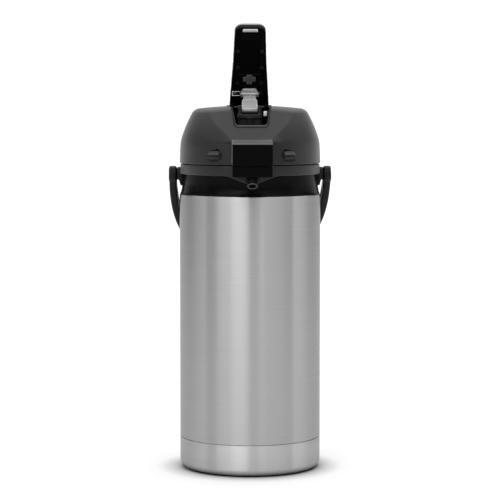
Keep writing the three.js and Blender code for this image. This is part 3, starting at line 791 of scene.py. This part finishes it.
def build_lever():
    place = turned(*LEVER_AXIS, -LEVER_RAISED)
    offset = Matrix.Rotation(LEVER_RAISED, 4, "X") @ Vector((0, LINK_TOP[0] - LEVER_AXIS[0],
                                                            LINK_TOP[1] - LEVER_AXIS[1]))
    pin_y, pin_z = offset.y, offset.z

    def frame_part(x, y, z):
        plan = np.abs(x) - (lever_half(y) - 0.4)
        outline = round_max(round_max(plan, -y - 109.7, 7.5), y - 8.0, 4.0)
        body = round_max(outline, np.abs(z - 3.5) - 3.5, 1.0)
        pan = round_max(np.abs(x) - 13.4, np.maximum(-y - 101.5, y + 46.0), 2.5)
        body = round_max(body, -round_max(pan, np.abs(z + 2) - 3.0, 0.4), 0.6)
        gutter = np.abs(round_max(np.abs(x) - 16.4, np.maximum(-y - 104.5, y + 14.0), 5.5)) - 0.5
        body = round_max(body, -np.maximum(gutter, np.abs(z) - 0.9), 0.3)
        for k in range(3):
            rib = soft_box(x, y, z, (0, -99.0 + 2.6 * k, 0.9), (10.5, 0.55, 0.7), 0.3)
            body = np.minimum(body, rib)
        for end in (-1, 1):
            lug = soft_rod(end * x, np.hypot(y, z), 18, 22.8, 6.0, 0.7)
            body = round_min(body, lug, 1.2)
            ear = soft_rod(end * x, np.hypot(y - pin_y, z - pin_z), 11.7, 15.5, 5.6, 0.6)
            body = round_min(body, ear, 1.0)
        room = soft_box(x, y, z, (0, pin_y, -0.6), (11.7, 8.6, 8.2), 1.0)
        root = soft_box(x, y, z, (0, 0, -1.4), (17.6, 9.6, 6.8), 1.0)
        slot = soft_rod(x, np.hypot(y - pin_y, z - pin_z), -21.4, 16.0, 3.0, 0.1)
        return round_max(round_max(round_max(body, -room, 0.6), -root, 0.6), -slot, 0.3)

    moulded("lever_body", frame_part, (-25, -110, -7), (25, 9, 8), 0.65, GLOSS, "lever", "gloss_black",
            ["lever_frame"], place)

    def rib(x, y, z):
        stem = soft_box(x, y, z, (-0.4, -39.4, -0.4), (3.4, 6.2, 1.4), 0.5)
        bar = soft_box(x, y, z, (-0.4, -39.8, -0.4), (7.4, 2.9, 1.4), 0.5)
        return round_min(stem, bar, 0.5)

    moulded("lever_rib", rib, (-9, -47, -2), (9, -32, 2), 0.35, HIGHLIGHT_GREY, "lever", "charcoal_plastic", (),
            place)

    def cap(x, y, z):
        plan = np.abs(x) - lever_half(y)
        outline = round_max(round_max(plan, -y - LEVER_LENGTH, 9.0), y + 26.0, 1.0)
        crown = z - (9.9 - 0.0035 * x * x)
        return round_max(outline, np.maximum(crown, 7.2 - z), 1.2)

    moulded("lever_cover", cap, (-22, -112, 0), (22, -25, 11), 0.65, CAP_SILVER, "lever",
            "silver_plastic", ["lever_cap"], place)

    def root_cap(x, y, z):
        plan = np.abs(x) - (lever_half(y) - 0.2)
        outline = round_max(plan, np.maximum(-y - 25.5, y - 8.0), 3.0)
        crown = z - (9.8 - 0.0035 * x * x)
        return round_max(outline, np.maximum(crown, 6.6 - z), 1.2)

    moulded("lever_root_cover", root_cap, (-25, -27, 6), (25, 9, 11), 0.65, BLACK, "lever",
            "black_plastic", (), place)

    def grip(x, y, z):
        return soft_box(x, y, z, (0, -106.4, -0.6), (8.7, 1.8, 1.1), 0.7)

    moulded("lever_grip", grip, (-10, -109, -2), (10, -104, 1), 0.4, SILVER, "lever", "silver_plastic",
            ["lever_grip_bar"], place)

    # The link's upper pin is bright steel; its dark colour is painted shade.
    def pin(x, y, z):
        rod = soft_rod(x, np.hypot(y - pin_y, z - pin_z), -20.8, 15.4, 2.7, 0.5)
        groove = np.maximum(np.abs(x + 18.6) - 0.35, 2.2 - np.hypot(y - pin_y, z - pin_z))
        return round_max(rod, -groove, 0.15)

    moulded("link_pin", pin, (-22, pin_y - 4, pin_z - 4), (17, pin_y + 4, pin_z + 4), 0.4, PAINTED_SHADE_STEEL,
            "lever", "bright_steel", ["link_pin_upper"], place)

    def clip(x, y, z):
        up = (y - pin_y) * -math.sin(LEVER_RAISED) + (z - pin_z) * math.cos(LEVER_RAISED)
        out = (y - pin_y) * -math.cos(LEVER_RAISED) - (z - pin_z) * math.sin(LEVER_RAISED)
        legs = soft_rod(x, np.hypot(np.abs(up) - 2.3, out - 5.9), -20.4, -11.4, 0.5, 0.2)
        bend = np.hypot(np.abs(up) - np.minimum(np.abs(up), 2.3), np.hypot(x + 20.2, out - 5.9)) - 0.5
        stub = soft_rod(out, np.hypot(x + 20.2, up), 0.0, 5.9, 0.5, 0.2)
        return np.minimum(np.minimum(legs, bend), stub)

    moulded("pin_clip", clip, (-21.5, pin_y - 8, pin_z - 8), (-11, pin_y + 8, pin_z + 8), 0.25, BRIGHT,
            "lever", "bright_steel", (), place)

    number = 0
    for x0 in (-14, 14):
        for y0 in (-78, -55.5, -34):
            number += 1

            def screw(x, y, z, x0=x0, y0=y0):
                head = soft_rod(z, np.hypot(x - x0, y - y0), -1.3, 1.2, 2.4, 0.5)
                first = soft_box(x, y, z, (x0, y0, -1.4), (1.5, 0.3, 0.7), 0.1)
                second = soft_box(x, y, z, (x0, y0, -1.4), (0.3, 1.5, 0.7), 0.1)
                return round_max(head, -np.minimum(first, second), 0.1)

            moulded(f"screw_{number}", screw, (x0 - 3, y0 - 3, -2), (x0 + 3, y0 + 3, 2), 0.25, BLACK,
                    "lever", "black_plastic", [f"lever_screw_{number}"], place)


def build_link():
    drop, run = LINK_TOP[1] - LINK_FOOT[1], LINK_TOP[0] - LINK_FOOT[0]
    reach = math.hypot(drop, run)
    place = turned(*LINK_TOP, -math.atan2(run, drop))

    def link(x, y, z):
        barrel = soft_rod(x, np.hypot(y - 0.8, z), -10.4, 10.4, 3.9, 0.6)
        side = (np.abs(x) - (9.7 - 0.3 * z)) * 0.95
        block = round_max(side, np.maximum(np.abs(y + 1.8) - 2.9, np.abs(z) - 4.6), 0.7)
        frame_line = np.maximum(np.abs(x) - 7.4, np.abs(z) - 3.3)
        border = np.maximum(np.abs(frame_line) - 0.6, np.abs(y + 4.4) - 0.9)
        neck = soft_box(x, y, z, (0, 0, -8.0), (7.3, 3.4, 5.0), 0.7)
        widen = np.interp(z, [-27.0, -12.2, -9.4], [9.6, 8.8, 6.8])
        plate = round_max(np.abs(x) - widen, np.maximum(np.abs(y) - 3.4, np.abs(z + 17.6) - 8.2), 0.6)
        foot = soft_rod(x, np.hypot(y, z + reach), -9.2, 9.2, 3.2, 0.6)
        inside = round_max(np.abs(x) - widen + 1.3, np.maximum(-y - 4.6, np.abs(z + 17.8) - 6.6), 0.4)
        inside = np.maximum(inside, y + 2.8)
        form = round_min(np.minimum(barrel, block), neck, 0.5)
        form = round_min(round_min(form, plate, 0.3), foot, 0.8)
        crease = np.maximum(np.abs(z + 5.4) - 0.6, y + 1.6)
        window = np.maximum(np.maximum(np.abs(x) - 6.8, np.abs(z) - 2.7), y + 3.9)
        form = np.maximum(round_max(round_max(form, -inside, 0.25), -crease, 0.2), -window)
        return round_min(form, border, 0.15)

    moulded("link_arm", link, (-12, -7, -reach - 4), (12, 6, 6), 0.4, SILVER, "link", "silver_plastic",
            ["link"], place)


def build_plunger():
    def plunger(x, y, z):
        head = soft_box(x, y, z, (0, 14, 412.2), (14, 7, 2.8), 0.9)
        ears = soft_box(np.abs(x), y, z, (11.7, 13.7, 418.5), (1.9, 6.3, 6.5), 0.8)
        slot = soft_box(x, y, z, (0, 12.85, 419.5), (20, 3.6, 3.2), 2.0)
        ears = round_max(ears, -slot, 0.3)
        post = soft_rod(z, np.hypot(x, y - 14), 389, 411, 7.0, 0.5)
        apron = soft_box(x, y, z, (0, 9.6, 401.0), (13.4, 1.3, 11.4), 0.5)
        plate = soft_rod(z, np.hypot(x, y - PUMP_Y), 388.4, 391.4, 40.0, 0.9)
        rim = soft_rod(z, np.abs(np.hypot(x, y - PUMP_Y) - 26.0), 390.5, 391.9, 1.2, 0.4)
        form = round_min(round_min(round_min(head, ears, 0.8), post, 1.5), plate, 1.5)
        return np.minimum(round_min(form, apron, 0.6), rim)

    moulded("plunger_head", plunger, (-41, -33, 388), (41, 49, 426), 0.8, CHARCOAL, "plunger",
            "charcoal_plastic", ["plunger"])

    low, high, folds = BELLOWS_FOOT_Z, BELLOWS_TOP_Z, 7
    corners = [(37.0, low, 0.3)]
    pitch = (high - low) / folds
    for k in range(folds):
        z0 = low + pitch * k
        corners += [(39.0, z0 + 0.25 * pitch, 0.8), (33.0, z0 + 0.75 * pitch, 0.8)]
    corners += [(37.0, high, 0.3), (35.4, high, 0)]
    for k in reversed(range(folds)):
        z0 = low + pitch * k
        corners += [(31.6, z0 + 0.75 * pitch, 0), (37.4, z0 + 0.25 * pitch, 0)]
    corners += [(35.4, low, 0)]
    spot = Matrix.Translation((0, PUMP_Y * MM, 0))
    folded = lathe("bellows_skin", corners, RUBBER, "lid", "rubber", ["bellows"], segments=96, place=spot)
    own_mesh(folded)

    curve_points = []
    for k in range(0, 4 * 32 + 1):
        a = 2 * math.pi * k / 32
        curve_points.append((22 * math.cos(a), PUMP_Y + 22 * math.sin(a), low + 2 + 31 * k / 128))
    wire = tube_mesh(curve_points, 1.5, 12)
    spring = piece("pump_spring", *wire, BRIGHT, "lid", "bright_steel", ["return_spring"])
    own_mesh(spring)


def build_lock():
    def tab(x, y, z):
        body = soft_box(x, y, z, (18.2, 11, 415.5), (2.0, 5.0, 2.9), 0.9)
        ridge = np.abs(np.mod(y + 0.8, 1.6) - 0.8) - 0.3
        top = np.maximum(ridge, 417.7 - z)
        return round_max(body, -top, 0.15)

    moulded("lock_tab", tab, (15.5, 5.5, 412), (21, 16.5, 419), 0.35, WHITE, "lock", "white_plastic",
            ["lever_lock"])


# Carried-over pieces get the same materials -----------------------------------------------------------

CARRIED = {
    "shell_bottom": INNER, "neck_gasket": SILICONE, "stem_tube": CLEAR, "stem_foot": BLACK,
    # The lever's hinge pin and the link's lower pin are bright steel; their dark colour is painted shade.
    "lid_hinge_pin": BRIGHT, "lever_hinge_pin": PAINTED_SHADE_STEEL, "air_valve_flap": SILICONE,
    "lid_seal": SILICONE,
    "link_pin_lower": PAINTED_SHADE_STEEL,
    **{f"lid_screw_{n}": BRIGHT for n in (1, 2, 3, 4)},
}


def dress_carried():
    for name, material in CARRIED.items():
        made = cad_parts[name]
        made.data.materials.clear()
        made.data.materials.append(material)


# Studio ---------------------------------------------------------------------------------------------

def light(name, place, aim, size, watts):
    """A rectangular soft box that faces aim."""
    data = bpy.data.lights.new(name, "AREA")
    data.shape = "RECTANGLE"
    data.size, data.size_y = size
    data.energy = watts
    made = bpy.data.objects.new(name, data)
    made.location = place
    made.rotation_euler = (Vector(aim) - Vector(place)).to_track_quat("-Z", "Y").to_euler()
    bpy.context.scene.collection.objects.link(made)


FLOOR_SIZE = 44.0
FLOOR_WHITE = (0.78, 0.78, 0.78)
SHADE_REACH = 0.03
OVERHEAD_WATTS = 4.0


def build_studio():
    """A plain white floor under the world's light, with a painted contact shadow where something stands
    close to it.
    """
    bpy.ops.mesh.primitive_plane_add(size=FLOOR_SIZE, location=(0, 0, 0))
    floor = bpy.context.object
    floor.name = "floor"
    material, tree, bsdf = shader("floor_paper", FLOOR_WHITE, 0.9)
    # Ambient occlusion darkens the paper's colour within SHADE_REACH of what stands on it: a painted
    # contact shadow.
    painted_contact_shadow = node(tree, "ShaderNodeAmbientOcclusion", samples=8)
    painted_contact_shadow.inputs["Color"].default_value = (*FLOOR_WHITE, 1.0)
    painted_contact_shadow.inputs["Distance"].default_value = SHADE_REACH
    tree.links.new(painted_contact_shadow.outputs["Color"], bsdf.inputs["Base Color"])
    point = object_point(tree, (1.0, 1.0, 1.0))
    tree.links.new(spread(tree, noise(tree, point, 2.0), 0.85, 0.95), bsdf.inputs["Roughness"])
    floor.data.materials.append(material)
    build_world()
    light("overhead", (0.2, 1.1, 2.3), (0, 0, 0.2), (1.6, 1.4), OVERHEAD_WATTS)
    bpy.context.scene.view_settings.view_transform = "Standard"


# Brightness by azimuth in degrees, 0 towards the camera: near the horizon, and a little above it.
LEVEL = [(-180, 1.1), (-168, 1.1), (-156, 0.85), (-140, 0.78), (-126, 0.36), (-112, 0.18), (-100, 0.5),
         (-90, 0.6), (-80, 0.72), (-76, 0.05), (-66, 0.04), (-56, 0.15), (-36, 0.16), (0, 0.12),
         (36, 0.12), (60, 0.12), (73, 0.16), (76, 0.85), (98, 0.92), (110, 0.6), (124, 0.58),
         (140, 0.85), (156, 0.92), (168, 1.1), (180, 1.1)]
RAISED = [(-180, 0.4), (-150, 0.25), (-126, 0.0), (-112, 0.0), (-100, 0.1), (-80, 0.45), (-76, 0.0),
          (-64, 0.0), (-59, 0.8), (-53, 2.0), (-35, 2.4), (-31, 3.6), (-24, 4.1), (-13, 4.2), (-7, 3.2),
          (-1, 0.8), (6, 0.5), (14, 1.1), (17, 2.0), (20, 2.0), (23, 1.15), (33, 1.05), (50, 0.8),
          (68, 0.2), (73, 0.1), (75, 1.2), (84, 0.9), (98, 0.5), (110, 0.0), (124, 0.0), (150, 0.2),
          (180, 0.4)]
BRIGHTEST = 4.2
HIGH = 1.7
ZENITH = 1.7


def build_world():
    """White paper behind and at the sides, a dim room towards the camera, soft panels above."""
    world = bpy.data.worlds.new("studio")
    bpy.context.scene.world = world
    world.use_nodes = True
    tree = world.node_tree
    background = tree.nodes["Background"]
    place = node(tree, "ShaderNodeTexCoord")
    split = node(tree, "ShaderNodeSeparateXYZ")
    tree.links.new(place.outputs["Generated"], split.inputs["Vector"])
    forward = node(tree, "ShaderNodeMath", operation="MULTIPLY")
    forward.inputs[1].default_value = -1.0
    tree.links.new(split.outputs["Y"], forward.inputs[0])
    azimuth = node(tree, "ShaderNodeMath", operation="ARCTAN2")
    tree.links.new(split.outputs["X"], azimuth.inputs[0])
    tree.links.new(forward.outputs["Value"], azimuth.inputs[1])
    share = node(tree, "ShaderNodeMath", operation="MULTIPLY_ADD")
    share.inputs[1].default_value = 0.5 / math.pi
    share.inputs[2].default_value = 0.5
    tree.links.new(azimuth.outputs["Value"], share.inputs[0])

    def around(stops):
        ramp = node(tree, "ShaderNodeValToRGB")
        elements = ramp.color_ramp.elements
        for k, (degrees, value) in enumerate(stops):
            position = degrees / 360 + 0.5
            if k == 0:
                element = elements[0]
            elif k == len(stops) - 1:
                element = elements[-1]
            else:
                element = elements.new(position)
            element.position = position
            element.color = (value / BRIGHTEST,) * 3 + (1.0,)
        tree.links.new(share.outputs["Value"], ramp.inputs["Fac"])
        return ramp.outputs["Color"]

    def blend(low, high, start, end):
        """Goes from low, a socket, to high, a socket or a brightness, between two heights."""
        step = node(tree, "ShaderNodeMapRange", interpolation_type="SMOOTHSTEP")
        step.inputs["From Min"].default_value = start
        step.inputs["From Max"].default_value = end
        tree.links.new(split.outputs["Z"], step.inputs["Value"])
        low_color, high_color, mixed = color_mix(tree, step.outputs["Result"])
        tree.links.new(low, low_color)
        if isinstance(high, float):
            high_color.default_value = (high / BRIGHTEST,) * 3 + (1.0,)
        else:
            tree.links.new(high, high_color)
        return mixed

    sides = blend(around(LEVEL), around(RAISED), 0.1, 0.3)
    high = blend(sides, HIGH, 0.38, 0.58)
    tree.links.new(blend(high, ZENITH, 0.78, 0.94), background.inputs["Color"])
    background.inputs["Strength"].default_value = BRIGHTEST


build_vessel()
build_collar()
build_bail()
build_pour()
build_lid()
build_latches()
build_lever()
build_link()
build_plunger()
build_lock()
dress_carried()
build_studio()
